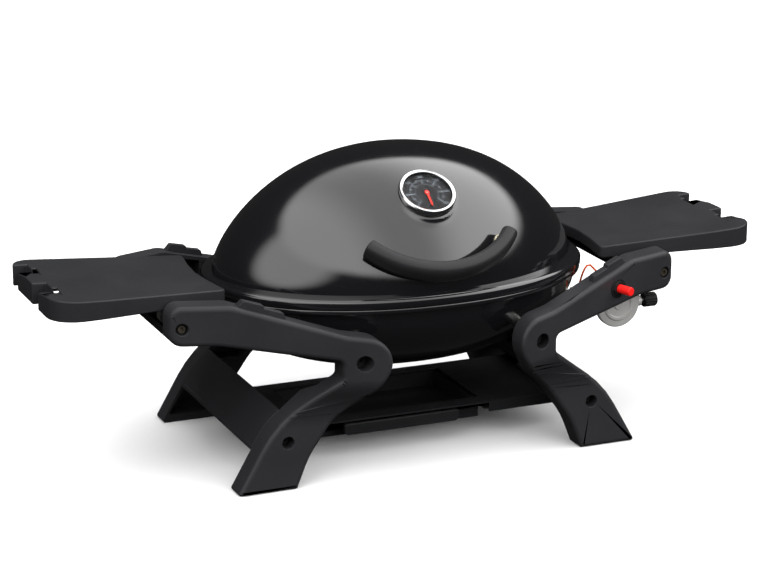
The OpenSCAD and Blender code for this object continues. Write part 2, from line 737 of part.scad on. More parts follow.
module leg() {
    color([0.12, 0.12, 0.125])
    difference() {
        union() {
            intersection() {
                along_y(leg_outline);
                leg_slab(0, leg_t);
            }
            intersection() {
                along_y(catch_outline);
                leg_slab(catch_inset, catch_t);
            }
        }
        intersection() {
            for (p = leg_pockets) along_y(p);
            leg_slab(leg_wall, leg_t + 20);
        }
        // flat inner face round the shelf hinge
        translate([316, -arm_end_y, 150]) cube([60, 100, 140]);
        // knee: deep hole in front, seat for the spacer behind
        translate([knee_x, -178, knee_z]) rotate([90, 0, 0]) cylinder(r = 10, h = 40);
        translate([knee_x, -100, knee_z]) rotate([90, 0, 0]) cylinder(r = 3.2, h = 100);
        translate([knee_x, -172, knee_z]) rotate([-90, 0, 0]) cylinder(r = 9.4, h = 40);
        // calf: deep hole for the panel screw
        translate([calf_x, -foot_y + bore_deep, calf_z]) rotate([90, 0, 0]) cylinder(r = 8, h = 60);
        translate([calf_x, -100, calf_z]) rotate([90, 0, 0]) cylinder(r = 3.2, h = 100);
        // arm end: counterbore and bore for the hinge bolt, socket for the rod
        translate([hinge_x, -121, hinge_z]) rotate([90, 0, 0]) cylinder(r = 7.7, h = 40);
        translate([hinge_x, -90, hinge_z]) rotate([90, 0, 0]) cylinder(r = 3.2, h = 60);
        translate([hinge_x, -104, hinge_z]) rotate([-90, 0, 0]) cylinder(r = 6.2, h = 40);
    }
}

module leg_front_right() {
    difference() {
        leg();
        at_igniter() translate([0, 0, -20]) cylinder(r = 8.7, h = 40);
    }
}
module leg_front_left() { mirror([1, 0, 0]) leg(); }
module leg_back_right() { mirror([0, 1, 0]) leg(); }
module leg_back_left() { mirror([0, 1, 0]) mirror([1, 0, 0]) leg(); }

// Side panel: a curved skin between the front and back legs, with a screw boss along it
module side_panel() {
    span = 2 * inner_y - 0.4;
    skin = [[247.5, 48, 1], [228, 81.5, 100], [208, 96.4, 1], [205.6, 93.2, 1], [225, 79, 100], [243, 48, 1]];
    color([0.1, 0.1, 0.105])
    translate([0, span / 2, 0]) rotate([90, 0, 0]) difference() {
        union() {
            linear_extrude(span) polygon(rounded(skin));
            linear_extrude(span) polygon([[243, 50], [246, 50], [246, 53], [224, 53], [224, 50]]);
            translate([calf_x, calf_z, 0]) cylinder(r = 9, h = span);
            linear_extrude(span) polygon([[calf_x, 60.5], [238, 60.5], [238, 64], [calf_x, 64]]);
        }
        translate([calf_x, calf_z, -1]) cylinder(r = 3.05, h = span + 2);
    }
}
module side_panel_right() { side_panel(); }
module side_panel_left() { mirror([1, 0, 0]) side_panel(); }

module knee_spacers() {
    color([0.7, 0.7, 0.7])
    difference() {
        knee_sites() rotate([90, 0, 0]) translate([0, 0, -24]) cylinder(r = 9, h = 46);
        knee_sites() rotate([90, 0, 0]) cylinder(r = 3.1, h = 100, center = true);
        oval_solid(bowl_outside());
    }
}

// Socket screw along -Z: head above the origin, shank of length l below
module socket_screw(l, r = 3, head = 5) {
    mirror([0, 0, 1]) cylinder(r = r, h = l);
    difference() {
        cylinder(r = head, h = 6);
        translate([0, 0, 2.5]) cylinder(r = 2.9, h = 5, $fn = 6);
    }
}

module knee_screws() {
    color([0.35, 0.33, 0.3])
    knee_sites() translate([0, -28, 0]) rotate([90, 0, 0]) socket_screw(58);
}

module panel_screws() {
    color([0.35, 0.33, 0.3])
    for (sx = [0, 1], sy = [0, 1]) mirror([sx, 0, 0]) mirror([0, sy, 0])
        translate([calf_x, -foot_y + bore_deep, calf_z]) rotate([90, 0, 0]) socket_screw(32);
}

// Plan of a shelf, inset by d: fanned outwards, hollow towards the lid
function shelf_plan(d) = let (
        a = shelf_half_in - d,
        b = shelf_half_out - d)
    rounded([[shelf_in + d, -a, 7], [shelf_out - 62, -b + 4, 200], [shelf_out - d, -b + 2, 36],
        [shelf_out - d, b, 26], [shelf_in + d, a, 7], [shelf_in + 14 + d, 0, 250]]);

// Tool notches: [front edge, back edge] of each slot along the outer end
notch_depth = 18;
notches = [[60, 79], [-34, -9]];
tooth_drop = 5;

module shelf() {
    color([0.12, 0.12, 0.125])
    difference() {
        shelf_wedge(0);
        difference() {
            shelf_wedge(shelf_wall);
            for (n = notches) translate([shelf_out - notch_depth - shelf_wall, n[0] - shelf_wall, 0])
                cube([60, n[1] - n[0] + 2 * shelf_wall, 400]);
            for (y = [-46, 46]) translate([shelf_in, y - 1.25, 0]) cube([300, 2.5, 400]);
        }
        for (n = notches) translate([shelf_out - notch_depth, n[0], 0]) cube([60, n[1] - n[0], 400]);
        for (n = notches) tooth_cut(n[0]);
    }
}

// Ramp in the shelf's top that falls towards a slot and fades out inboard of it
module tooth_cut(y) {
    top = shelf_top_in + (shelf_out - shelf_in) * tan(shelf_slope);
    ramp = 38;
    translate([shelf_out - notch_depth - 6, y, top - 1]) rotate([0, -shelf_slope, 0]) rotate([90, 0, 90])
        linear_extrude(60) polygon([[0.01, -tooth_drop], [0.01, 20], [-ramp - 12, 20], [-ramp, 0]]);
}

// Wedge between the level skirt edge and the rising top; inset makes the hollow inside it
module shelf_wedge(inset) {
    low = inset > 0 ? skirt_z - 5 : skirt_z;
    cut = inset > 0 ? shelf_wall : 0;
    intersection() {
        translate([0, 0, low]) linear_extrude(60) polygon(shelf_plan(inset));
        translate([shelf_in, -200, shelf_top_in - cut - 80]) rotate([0, -shelf_slope, 0])
            translate([-20, 0, 0]) cube([300, 400, 80]);
    }
}
module shelf_right() { shelf(); }
module shelf_left() { mirror([1, 0, 0]) shelf(); }

// Hinge knuckles under a shelf, which turn on the rod
module shelf_knuckles() {
    top = shelf_top_in + (hinge_x - shelf_in) * tan(shelf_slope) - shelf_wall - 0.9;
    color([0.5, 0.5, 0.5])
    for (y = [-64, 64]) translate([0, y, 0]) difference() {
        union() {
            translate([hinge_x, 7, hinge_z]) rotate([90, 0, 0]) cylinder(r = 9, h = 14);
            translate([hinge_x - 8, -7, hinge_z]) cube([16, 14, top - hinge_z]);
            translate([hinge_x - 20, -7, top - 2.2]) rotate([0, -shelf_slope, 0]) cube([40, 14, 2]);
        }
        translate([hinge_x, 20, hinge_z]) rotate([90, 0, 0]) cylinder(r = rod_r + 0.05, h = 40);
    }
}
module shelf_knuckles_right() { shelf_knuckles(); }
module shelf_knuckles_left() { mirror([1, 0, 0]) shelf_knuckles(); }

module shelf_rods() {
    color([0.3, 0.3, 0.3])
    for (s = [-1, 1]) translate([s * hinge_x, 103.5, hinge_z]) rotate([90, 0, 0]) difference() {
        cylinder(r = rod_r, h = 207);
        translate([0, 0, -1]) cylinder(r = 3.05, h = 26);
        translate([0, 0, 182]) cylinder(r = 3.05, h = 26);
    }
}

module shelf_crossbars() {
    color([0.25, 0.25, 0.25])
    for (s = [0, 1]) mirror([s, 0, 0]) translate([0, arm_end_y, 0]) rotate([90, 0, 0]) linear_extrude(2 * arm_end_y)
        polygon([[316, 191], [338, 191], [338, 202], [336, 202], [336, 193], [318, 193], [318, 202], [316, 202]]);
}

module shelf_hinge_bolts() {
    color([0.45, 0.38, 0.25])
    for (sx = [0, 1], sy = [0, 1]) mirror([sx, 0, 0]) mirror([0, sy, 0])
        translate([hinge_x, -121, hinge_z]) rotate([90, 0, 0]) socket_screw(38, 3, 4.6);
}

module bottom_plate() {
    color([0.1, 0.1, 0.105])
    difference() {
        union() {
            translate([-240, -82, plate_z]) cube([480, 174, plate_t]);
            for (s = [-82, 90]) translate([-222, s, plate_z - 12]) cube([444, 2, 12]);
        }
        translate([tray_x - tray_half + 4, tray_y0 + 4, plate_z - 5]) cube([2 * tray_half - 8, 130, 20]);
        translate([tray_x - tray_half - 1, -90, plate_z - 20]) cube([2 * tray_half + 2, 20, 19.9]);
        for (x = [-232, 232], y = [-60, 60]) translate([x, y, 0]) cylinder(r = 2.2, h = 100);
    }
}

module plate_screws() {
    color([0.7, 0.7, 0.7])
    for (x = [-232, 232], y = [-60, 60]) translate([x, y, plate_z]) mirror([0, 0, 1]) cylinder(r = 4, h = 2.5);
}

// Channels under the plate in which the tray slides
module tray_runners() {
    color([0.7, 0.7, 0.7])
    for (s = [-1, 1]) translate([tray_x + s * (tray_half + 5), -76, plate_z - 9.2]) {
        translate([-1 + s * 2, 0, 0]) cube([2, 160, 9]);
        translate([s > 0 ? -7 : -3, 0, -1.6]) cube([10, 160, 1.5]);
        translate([s > 0 ? -3 : -9, 0, 9.0 - 1.5]) cube([12, 160, 1.5]);
    }
}

module drip_tray() {
    floor_z = plate_z - 24;
    color([0.13, 0.13, 0.135])
    difference() {
        union() {
            translate([tray_x - tray_half + 6, tray_y0, floor_z]) cube([2 * tray_half - 12, 140, 21.5]);
            translate([tray_x - tray_half, tray_y0, plate_z - 9]) cube([2 * tray_half, 140, 4.5]);
        }
        translate([tray_x - tray_half + 8, tray_y0 + 2, floor_z + 2]) cube([2 * tray_half - 16, 136, 40]);
    }
}

module tray_grip() {
    color([0.13, 0.13, 0.135])
    difference() {
        translate([0, tray_y0 - 0.1, 0]) rotate([90, 0, 0]) linear_extrude(24) polygon(rounded(
            [[tray_x - 80, 31, 6], [tray_x + 80, 31, 6], [tray_x + 80, 46, 3], [tray_x - 80, 46, 3]]));
        translate([tray_x - 66, tray_y0 - 18, 34]) cube([132, 20, 30]);
    }
}

module bowl_screws() {
    color([0.75, 0.6, 0.25])
    for (s = [-1, 1]) translate([s * 55, 0, bowl_bottom(55) - shell_t - 0.6]) mirror([0, 0, 1])
        cylinder(r = 3.2, h = 3);
}

lid_shell();
lid_handle();
handle_spacers();
handle_screws();
thermometer_bezel();
thermometer_housing();
thermometer_dial();
thermometer_lens();
thermometer_needle();
thermometer_probe();
thermometer_nut();
lid_hinge_leaves();
bowl_hinge_leaves();
hinge_pins();
hinge_rivets();
bowl();
grate_left();
grate_right();
burner_tube();
burner_brackets();
venturi_tube();
gas_jet();
valve_body();
gas_elbow();
regulator_housing();
regulator_cap();
regulator_bracket();
gas_inlet();
control_spindle();
control_knob();
igniter_body();
igniter_collar();
igniter_nut();
igniter_button();
electrode_insulator();
electrode_rod();
ignition_lead();
earth_lead();
leg_front_left();
leg_front_right();
leg_back_left();
leg_back_right();
side_panel_left();
side_panel_right();
knee_spacers();
knee_screws();
panel_screws();
shelf_left();
shelf_right();
shelf_knuckles_left();
shelf_knuckles_right();
shelf_rods();
shelf_crossbars();
shelf_hinge_bolts();
bottom_plate();
plate_screws();
tray_runners();
drip_tray();
tray_grip();
bowl_screws();
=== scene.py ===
# %% [markdown]
# # A portable gas barbecue grill
# An oval lidded bowl hangs between four bent plastic legs. The engineering model already holds
# every part at its real size, so this lesson gives the parts their finished surfaces and looks.

# %% Load the engineering model
import json
import math

import bmesh
import bpy
import numpy as np
from mathutils import Matrix, Vector


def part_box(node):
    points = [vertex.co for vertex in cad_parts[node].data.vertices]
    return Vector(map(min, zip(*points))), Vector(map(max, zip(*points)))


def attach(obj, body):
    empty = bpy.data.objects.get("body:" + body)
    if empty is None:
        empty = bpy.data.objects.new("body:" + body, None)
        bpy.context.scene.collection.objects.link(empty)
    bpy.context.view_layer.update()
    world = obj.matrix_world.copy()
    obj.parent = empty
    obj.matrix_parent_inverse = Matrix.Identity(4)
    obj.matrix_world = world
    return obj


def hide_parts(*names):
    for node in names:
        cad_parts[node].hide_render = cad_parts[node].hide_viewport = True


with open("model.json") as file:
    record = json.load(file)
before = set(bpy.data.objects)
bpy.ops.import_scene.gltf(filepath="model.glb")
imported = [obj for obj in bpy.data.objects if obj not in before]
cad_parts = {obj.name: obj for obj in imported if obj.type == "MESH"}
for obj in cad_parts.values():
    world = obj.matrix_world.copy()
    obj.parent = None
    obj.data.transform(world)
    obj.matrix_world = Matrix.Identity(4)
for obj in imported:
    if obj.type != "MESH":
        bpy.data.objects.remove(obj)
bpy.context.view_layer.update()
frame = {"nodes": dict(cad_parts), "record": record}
nodes = frame["nodes"]

# %% [markdown]
# ## The camera
# A long lens a few metres away keeps the grill's proportions calm. Its place is given by an angle
# round the grill, an angle above the table and a distance, which is how a studio stand is set.

# %% Camera
CAMERA_TURN = math.radians(-22.9)
CAMERA_RISE = math.radians(16.4)
CAMERA_ROLL = math.radians(0.14)
CAMERA_DISTANCE = 3.38
CAMERA_TARGET = Vector((-0.009, 0.0, 0.192))
LENS_MM = 121.24

back = Vector((
    math.sin(CAMERA_TURN) * math.cos(CAMERA_RISE),
    -math.cos(CAMERA_TURN) * math.cos(CAMERA_RISE),
    math.sin(CAMERA_RISE),
))
side = (-back).cross(Vector((0, 0, 1))).normalized()
rise = side.cross(-back)
right = side * math.cos(CAMERA_ROLL) + rise * math.sin(CAMERA_ROLL)
up = rise * math.cos(CAMERA_ROLL) - side * math.sin(CAMERA_ROLL)

camera_data = bpy.data.cameras.new("camera")
camera_data.lens = LENS_MM
camera_data.sensor_width = 36.0
camera_data.clip_end = 50.0
camera = bpy.data.objects.new("camera", camera_data)
bpy.context.scene.collection.objects.link(camera)
turned = Matrix((right, up, back)).transposed().to_4x4()
camera.matrix_world = Matrix.Translation(CAMERA_TARGET + back * CAMERA_DISTANCE) @ turned
bpy.context.scene.camera = camera
print("camera at", [round(v, 3) for v in camera.location])

# %% [markdown]
# ## Writing shader maths as sums
# A material in Blender is a web of nodes. One small class wraps a socket, so that `1 - mask * 2`
# adds the Math nodes by itself, and one method adds any other node. The web then reads like a sum.

# %% A socket that can be added and multiplied
class Wire:
    """One number on its way through a material; each operator adds a Math node."""

    def __init__(self, tree, socket):
        self.tree = tree
        self.socket = socket

    def math(self, operation, *rest):
        node = self.tree.nodes.new("ShaderNodeMath")
        node.operation = operation
        for slot, value in zip(node.inputs, (self, *rest)):
            if isinstance(value, Wire):
                self.tree.links.new(value.socket, slot)
            else:
                slot.default_value = value
        return Wire(self.tree, node.outputs[0])

    def flipped(self, operation, first):
        node = self.tree.nodes.new("ShaderNodeMath")
        node.operation = operation
        node.inputs[0].default_value = first
        self.tree.links.new(self.socket, node.inputs[1])
        return Wire(self.tree, node.outputs[0])

    def __add__(self, other):
        return self.math("ADD", other)

    def __sub__(self, other):
        return self.math("SUBTRACT", other)

    def __mul__(self, other):
        return self.math("MULTIPLY", other)

    def __rsub__(self, other):
        return self.flipped("SUBTRACT", other)

    __radd__ = __add__
    __rmul__ = __mul__


# %% A material under construction
class Finish:
    """A named material with a Principled shader, the object's own coordinates and a node helper."""

    def __init__(self, name, color, roughness, metallic=0.0):
        self.material = bpy.data.materials.new(name)
        self.material.use_nodes = True
        self.tree = self.material.node_tree
        self.shader = self.tree.nodes["Principled BSDF"]
        self.color = (*color, 1.0)
        self.place = self.node("ShaderNodeTexCoord").outputs["Object"]
        self.set(**{"Base Color": self.color, "Roughness": roughness, "Metallic": metallic})

    def node(self, kind, settings=None, **inputs):
        made = self.tree.nodes.new(kind)
        for key, value in (settings or {}).items():
            setattr(made, key, value)
        for key, value in inputs.items():
            self.feed(made.inputs[key.replace("_", " ")], value)
        return made

    def feed(self, slot, value):
        if isinstance(value, Wire):
            value = value.socket
        if isinstance(value, bpy.types.NodeSocket):
            self.tree.links.new(value, slot)
        else:
            slot.default_value = value

    def set(self, **values):
        for key, value in values.items():
            self.feed(self.shader.inputs[key.replace("_", " ")], value)

    def mapped(self, scale):
        return self.node("ShaderNodeMapping", Vector=self.place, Scale=scale).outputs[0]

    def noise(self, scale, detail=3.0, stretch=(1, 1, 1)):
        made = self.node("ShaderNodeTexNoise", Vector=self.mapped(stretch), Scale=scale, Detail=detail)
        return Wire(self.tree, made.outputs[0])

    def cells(self, scale):
        made = self.node("ShaderNodeTexVoronoi", Vector=self.place, Scale=scale)
        return Wire(self.tree, made.outputs["Distance"])

    def ramp(self, wire, low, high):
        made = self.node("ShaderNodeMapRange", {"interpolation_type": "SMOOTHSTEP"}, Value=wire)
        made.inputs["From Min"].default_value = low
        made.inputs["From Max"].default_value = high
        return Wire(self.tree, made.outputs[0])

    def tint(self, factor, first, second):
        made = self.node("ShaderNodeMix", {"data_type": "RGBA"})
        self.feed(made.inputs[0], factor)
        self.feed(made.inputs[6], (*first, 1.0) if len(first) == 3 else first)
        self.feed(made.inputs[7], (*second, 1.0) if len(second) == 3 else second)
        return made.outputs[2]

    def relief(self, height, depth, strength=1.0):
        bump = self.node("ShaderNodeBump", Height=height, Distance=depth, Strength=strength)
        self.set(Normal=bump.outputs[0])


print("shader helpers ready")

# %% [markdown]
# ## The finishes
# Moulded plastic has a fine grain that the mould's etched walls leave, and its gloss wanders a
# little. Porcelain enamel is glass fired on steel: almost a mirror, with a faint orange-peel wave.
# Each metal is told apart by how its roughness runs: drawn, turned, cast or plated.

# %% Plastics
def moulded(name, color, roughness, grain=0.00012, grain_scale=1500.0):
    """Plastic: a Voronoi grain for relief, slow noise for colour and gloss."""
    made = Finish(name, color, roughness)
    cloud = made.noise(14.0, 4.0)
    grit = made.noise(420.0, 3.0)
    darker = tuple(c * 0.72 for c in color)
    paler = tuple(min(1.0, c * 1.35 + 0.002) for c in color)
    made.set(**{"Base Color": made.tint(cloud * 0.7 + grit * 0.3, darker, paler)})
    made.set(Roughness=cloud * 0.14 + grit * 0.16 + (roughness - 0.15))
    made.relief(made.cells(grain_scale) * 0.6 + grit * 0.5, grain, 0.55)
    made.shader.inputs["Specular IOR Level"].default_value = 0.22
    return made.material


LEG_PLASTIC = moulded("leg_plastic", (0.020, 0.020, 0.022), 0.46)
SHELF_PLASTIC = moulded("shelf_plastic", (0.017, 0.017, 0.019), 0.44)
HANDLE_PLASTIC = moulded("handle_plastic", (0.012, 0.012, 0.013), 0.42, 0.00006, 2200.0)
TRAY_PLASTIC = moulded("tray_plastic", (0.010, 0.010, 0.011), 0.42)
KNOB_PLASTIC = moulded("knob_plastic", (0.008, 0.008, 0.008), 0.38, 0.00004, 2400.0)
CREAM_PLASTIC = moulded("cream_plastic", (0.62, 0.56, 0.42), 0.5, 0.00003, 2400.0)
RED_PLASTIC = moulded("red_plastic", (0.70, 0.012, 0.010), 0.3, 0.00002, 2600.0)
print("plastics:", LEG_PLASTIC.name, SHELF_PLASTIC.name, HANDLE_PLASTIC.name)


# %% Porcelain enamel
def enamel():
    """Fired glass on steel: orange-peel relief, a few cloudy smears in the gloss, a clear coat."""
    made = Finish("porcelain_enamel", (0.006, 0.006, 0.007), 0.16)
    peel = made.noise(120.0, 2.0)
    smear = made.ramp(made.noise(9.0, 5.0), 0.46, 0.75)
    dust = made.ramp(made.noise(900.0, 2.0), 0.66, 0.78)
    made.set(Roughness=smear * 0.07 + dust * 0.1 + 0.10)
    made.set(**{"Base Color": made.tint(dust * 0.35, (0.006, 0.006, 0.007), (0.05, 0.05, 0.052))})
    made.set(IOR=1.55)
    made.shader.inputs["Coat Weight"].default_value = 0.6
    made.shader.inputs["Coat Roughness"].default_value = 0.06
    made.relief(peel, 0.00012, 0.22)
    return made.material


ENAMEL = enamel()


# %% Metals
def metal(name, color, roughness, stretch=(1, 1, 1), scale=300.0, relief=0.00002):
    """Metal: noise stretched along the way the tool ran, in colour, gloss and relief."""
    made = Finish(name, color, roughness, 1.0)
    lines = made.noise(scale, 4.0, stretch)
    stain = made.ramp(made.noise(22.0, 5.0), 0.35, 0.75)
    darker = tuple(c * 0.62 for c in color)
    made.set(**{"Base Color": made.tint(stain * 0.45 + lines * 0.25, color, darker)})
    made.set(Roughness=lines * 0.2 + stain * 0.14 + (roughness - 0.12))
    made.relief(lines, relief, 0.5)
    return made.material


CHROME = metal("chrome_plate", (0.86, 0.86, 0.87), 0.13, relief=0.000003)
ZINC_PLATE = metal("zinc_plate", (0.62, 0.61, 0.58), 0.36)
DIE_CAST = metal("die_cast", (0.66, 0.65, 0.63), 0.46, scale=700.0, relief=0.00005)
DIE_CAST.node_tree.nodes["Principled BSDF"].inputs["Metallic"].default_value = 0.45
TUBE_STEEL = metal("tube_steel", (0.55, 0.53, 0.50), 0.34, (0.2, 6, 6), 200.0)
BRASS = metal("brass", (0.72, 0.50, 0.20), 0.3)
SCREW_STEEL = metal("screw_steel", (0.22, 0.19, 0.15), 0.42)
print("metals:", CHROME.name, DIE_CAST.name, BRASS.name)


# %% Painted steel, cast iron and the rest
def painted(name, color, roughness, relief=0.00005):
    """Powder coat: a soft pebble relief with worn, shinier patches."""
    made = Finish(name, color, roughness)
    pebble = made.noise(700.0, 3.0)
    worn = made.ramp(made.noise(18.0, 4.0), 0.5, 0.8)
    made.set(Roughness=worn * -0.12 + pebble * 0.15 + roughness)
    paler = tuple(c * 1.8 + 0.003 for c in color)
    made.set(**{"Base Color": made.tint(worn * 0.5 + pebble * 0.3, color, paler)})
    made.relief(pebble, relief, 0.6)
    made.shader.inputs["Specular IOR Level"].default_value = 0.2
    return made.material


BLACK_STEEL = painted("black_steel", (0.010, 0.010, 0.011), 0.4)
CAST_IRON = painted("cast_iron", (0.020, 0.019, 0.018), 0.55, 0.0003)
DIAL_PAINT = painted("dial_paint", (0.006, 0.006, 0.007), 0.45, 0.00001)
DIAL_WHITE = painted("dial_white", (0.24, 0.27, 0.31), 0.5, 0.00001)
NEEDLE_RED = painted("needle_red", (0.62, 0.03, 0.02), 0.4, 0.00001)
CERAMIC = painted("ceramic", (0.78, 0.75, 0.68), 0.2, 0.00001)
BLACK_SLEEVE = painted("black_sleeve", (0.012, 0.012, 0.012), 0.4, 0.00001)
RED_SLEEVE = painted("red_sleeve", (0.50, 0.07, 0.02), 0.4, 0.00001)


def lens_glass():
    """Thin clear window: mostly see-through, with a glossy skin and faint dust."""
    made = Finish("lens_glass", (0.02, 0.02, 0.02), 0.04)
    dust = made.ramp(made.noise(500.0, 3.0), 0.6, 0.8)
    made.set(Roughness=dust * 0.15 + 0.03)
    made.set(Alpha=dust * 0.05 + 0.05)
    return made.material


LENS_GLASS = lens_glass()
print("finishes:", len(bpy.data.materials))

# %% [markdown]
# ## Giving each part its finish
# The engineering parts that already have the right shape keep it and only change their material.

# %% Dress the parts that stay
DRESS = {
    ZINC_PLATE: ["handle_screws", "hinge_pins", "hinge_rivets", "control_spindle", "plate_screws",
                 "tray_runners", "burner_brackets",
                 "thermometer_probe", "thermometer_nut", "thermometer_housing",
                 "shelf_knuckles_left", "shelf_knuckles_right", "knee_spacers"],
    CHROME: ["thermometer_bezel"],
    DIAL_PAINT: ["thermometer_dial"],
    LENS_GLASS: ["thermometer_lens"],
    NEEDLE_RED: ["thermometer_needle"],
    BLACK_STEEL: ["lid_hinge_leaves", "bowl_hinge_leaves", "shelf_crossbars", "shelf_rods",
                  "regulator_bracket", "bottom_plate", "knee_screws", "panel_screws"],
    CAST_IRON: ["grate_left", "grate_right"],
    TUBE_STEEL: ["burner_tube", "venturi_tube", "electrode_rod"],
    BRASS: ["gas_jet", "gas_inlet", "bowl_screws"],
    DIE_CAST: ["valve_body", "gas_elbow", "regulator_housing", "regulator_cap"],
    KNOB_PLASTIC: ["igniter_body", "igniter_collar", "igniter_nut", "control_knob"],
    RED_PLASTIC: ["igniter_button"],
    CERAMIC: ["electrode_insulator"],
    BLACK_SLEEVE: ["ignition_lead"],
    RED_SLEEVE: ["earth_lead"],
    HANDLE_PLASTIC: ["lid_handle"],
    CREAM_PLASTIC: ["handle_spacers"],
    ENAMEL: ["lid_shell", "bowl"],
    LEG_PLASTIC: ["leg_front_left", "leg_front_right", "leg_back_left", "leg_back_right"],
    SHELF_PLASTIC: ["shelf_left", "shelf_right", "side_panel_left", "side_panel_right"],
    TRAY_PLASTIC: ["drip_tray", "tray_grip"],
    SCREW_STEEL: ["shelf_hinge_bolts"],
}
FINISH_OF = {name: material for material, names in DRESS.items() for name in names}
for name, part in nodes.items():
    part.data.materials.clear()
    part.data.materials.append(FINISH_OF[name])
print("dressed", len(FINISH_OF))

# %% [markdown]
# ## Rounded edges
# No moulded or pressed part has a knife edge. A merged copy of a part takes a Bevel modifier, whose
# small radius catches the light, and a Weighted Normal modifier keeps the flat faces flat. The
# shelves take their full radius, and elsewhere the smallest edge limits it.

# %% A rounded copy of a part
BODY_OF = {name: body for body, names in frame["record"]["behaviour"]["bodies"].items() for name in names}


def finished_piece(name, mesh, stands_for, material):
    """Links a mesh as a piece that stands for a part and rides on that part's body."""
    piece = bpy.data.objects.new(name, mesh)
    bpy.context.scene.collection.objects.link(piece)
    mesh.materials.clear()
    mesh.materials.append(material)
    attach(piece, BODY_OF[stands_for[0]])
    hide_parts(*stands_for)
    return piece


SAME_POINT = 2e-6
SAME_PLANE = math.radians(0.4)
SHARP_EDGE = math.radians(34)
FLAT_WEIGHT = 80


def whole_faces(node):
    """Merges a copy of a part's triangles into whole flat faces, ready for edge work."""
    work = bmesh.new()
    work.from_mesh(nodes[node].data)
    bmesh.ops.remove_doubles(work, verts=work.verts, dist=SAME_POINT)
    bmesh.ops.dissolve_limit(work, angle_limit=SAME_PLANE, verts=work.verts, edges=work.edges)
    return work


def plain_mesh(work, name):
    """Writes the edited faces to a smooth mesh without the imported normals."""
    mesh = bpy.data.meshes.new(name)
    work.to_mesh(mesh)
    work.free()
    if "custom_normal" in mesh.attributes:
        mesh.attributes.remove(mesh.attributes["custom_normal"])
    mesh.shade_smooth()
    return mesh


def add_bevel(piece, name, radius, steps, method, clamp):
    """Rounds edges by the radius, then keeps the flat faces flat with weighted normals."""
    bevel = piece.modifiers.new(name, "BEVEL")
    bevel.width = radius
    bevel.segments = steps
    bevel.limit_method = method
    bevel.angle_limit = SHARP_EDGE
    bevel.use_clamp_overlap = clamp
    weighted = piece.modifiers.new("flat_faces", "WEIGHTED_NORMAL")
    weighted.keep_sharp = True
    weighted.weight = FLAT_WEIGHT


def rounded_copy(node, radius, clamp=True):
    """Rounds the edges of a merged copy by the radius; clamping shrinks it to suit the smallest edge."""
    mesh = plain_mesh(whole_faces(node), node + "_finished")
    piece = finished_piece(node + "_finished", mesh, [node], FINISH_OF[node])
    add_bevel(piece, "rounded_edges", radius, 3, "ANGLE", clamp)


ROUNDED = {
    "side_panel_left": 0.0008, "side_panel_right": 0.0008,
    "drip_tray": 0.0007, "tray_grip": 0.0014, "bottom_plate": 0.0005,
    "control_knob": 0.0005, "igniter_collar": 0.0006, "igniter_nut": 0.0005, "igniter_button": 0.0004,
    "shelf_crossbars": 0.0005, "regulator_bracket": 0.0004, "regulator_housing": 0.0006,
    "grate_left": 0.0010, "grate_right": 0.0010, "gas_inlet": 0.0004, "gas_elbow": 0.0012,
    "lid_hinge_leaves": 0.0008, "bowl_hinge_leaves": 0.0008, "thermometer_needle": 0.0002,
    "shelf_knuckles_left": 0.0006, "shelf_knuckles_right": 0.0006,
}
for node, radius in ROUNDED.items():
    rounded_copy(node, radius)
SHELF_ROUND = 0.0019
SHELVES = ("shelf_left", "shelf_right")
for node in SHELVES:
    rounded_copy(node, SHELF_ROUND, clamp=False)
print("rounded", len(ROUNDED) + len(SHELVES))

# %% [markdown]
# ## The legs
# A leg is a deep plastic moulding. Its front skin bends at the knee in one soft sweep, and only the
# outline of that skin has a generous round, while the screw holes are crisp. So the outline is found
# as the longest loop round the front skin, and it alone takes the large radius.

# %% Legs with a soft knee and a round outline
FOOT_SKIN_Y = 0.166
LEG_THICK = 0.032
ARM_AT_MIDDLE = 0.2408
ARM_SLOPE = 0.3367
CREASE_LOW, CREASE_HIGH = 0.095, 0.128
CREASE_NEAR_X, CREASE_FAR_X = 0.070, 0.230
BEND_LOW, BEND_HIGH = 0.080, 0.143
HOLE_HEIGHTS = (0.0625, 0.164, 0.2080, 0.2120)
SNAP = 0.0002
OUTLINE_ROUND = 0.0058
HOLE_ROUND = 0.0007


def arm_skin(x):
    """Distance of the arm's front skin from the grill's middle plane."""
    return ARM_AT_MIDDLE - ARM_SLOPE * x


def creased_skin(x, z):
    """The engineering bend: two flat triangles between the lower leg's skin and the arm's skin."""
    up_share = np.clip((z - CREASE_LOW) / (CREASE_HIGH - CREASE_LOW), 0.0, 1.0)
    across = np.clip((x - CREASE_NEAR_X) / (CREASE_FAR_X - CREASE_NEAR_X), 0.0, 1.0)
    near_arm, far_arm = arm_skin(CREASE_NEAR_X), arm_skin(CREASE_FAR_X)
    near_side = FOOT_SKIN_Y + (near_arm - FOOT_SKIN_Y) * up_share
    far_side = far_arm + (1 - across) * (near_arm - far_arm) + (1 - up_share) * (FOOT_SKIN_Y - far_arm)
    bend = np.where(across + up_share <= 1.0, near_side, far_side)
    return np.where(z >= CREASE_HIGH, arm_skin(x), np.where(z <= CREASE_LOW, FOOT_SKIN_Y, bend))


def swept_skin(x, z):
    """The soft bend: a smooth step, 3t^2 - 2t^3, from the lower leg's skin to the arm's."""
    t = np.clip((z - BEND_LOW) / (BEND_HIGH - BEND_LOW), 0.0, 1.0)
    share = t * t * (3 - 2 * t)
    return FOOT_SKIN_Y * (1 - share) + arm_skin(x) * share


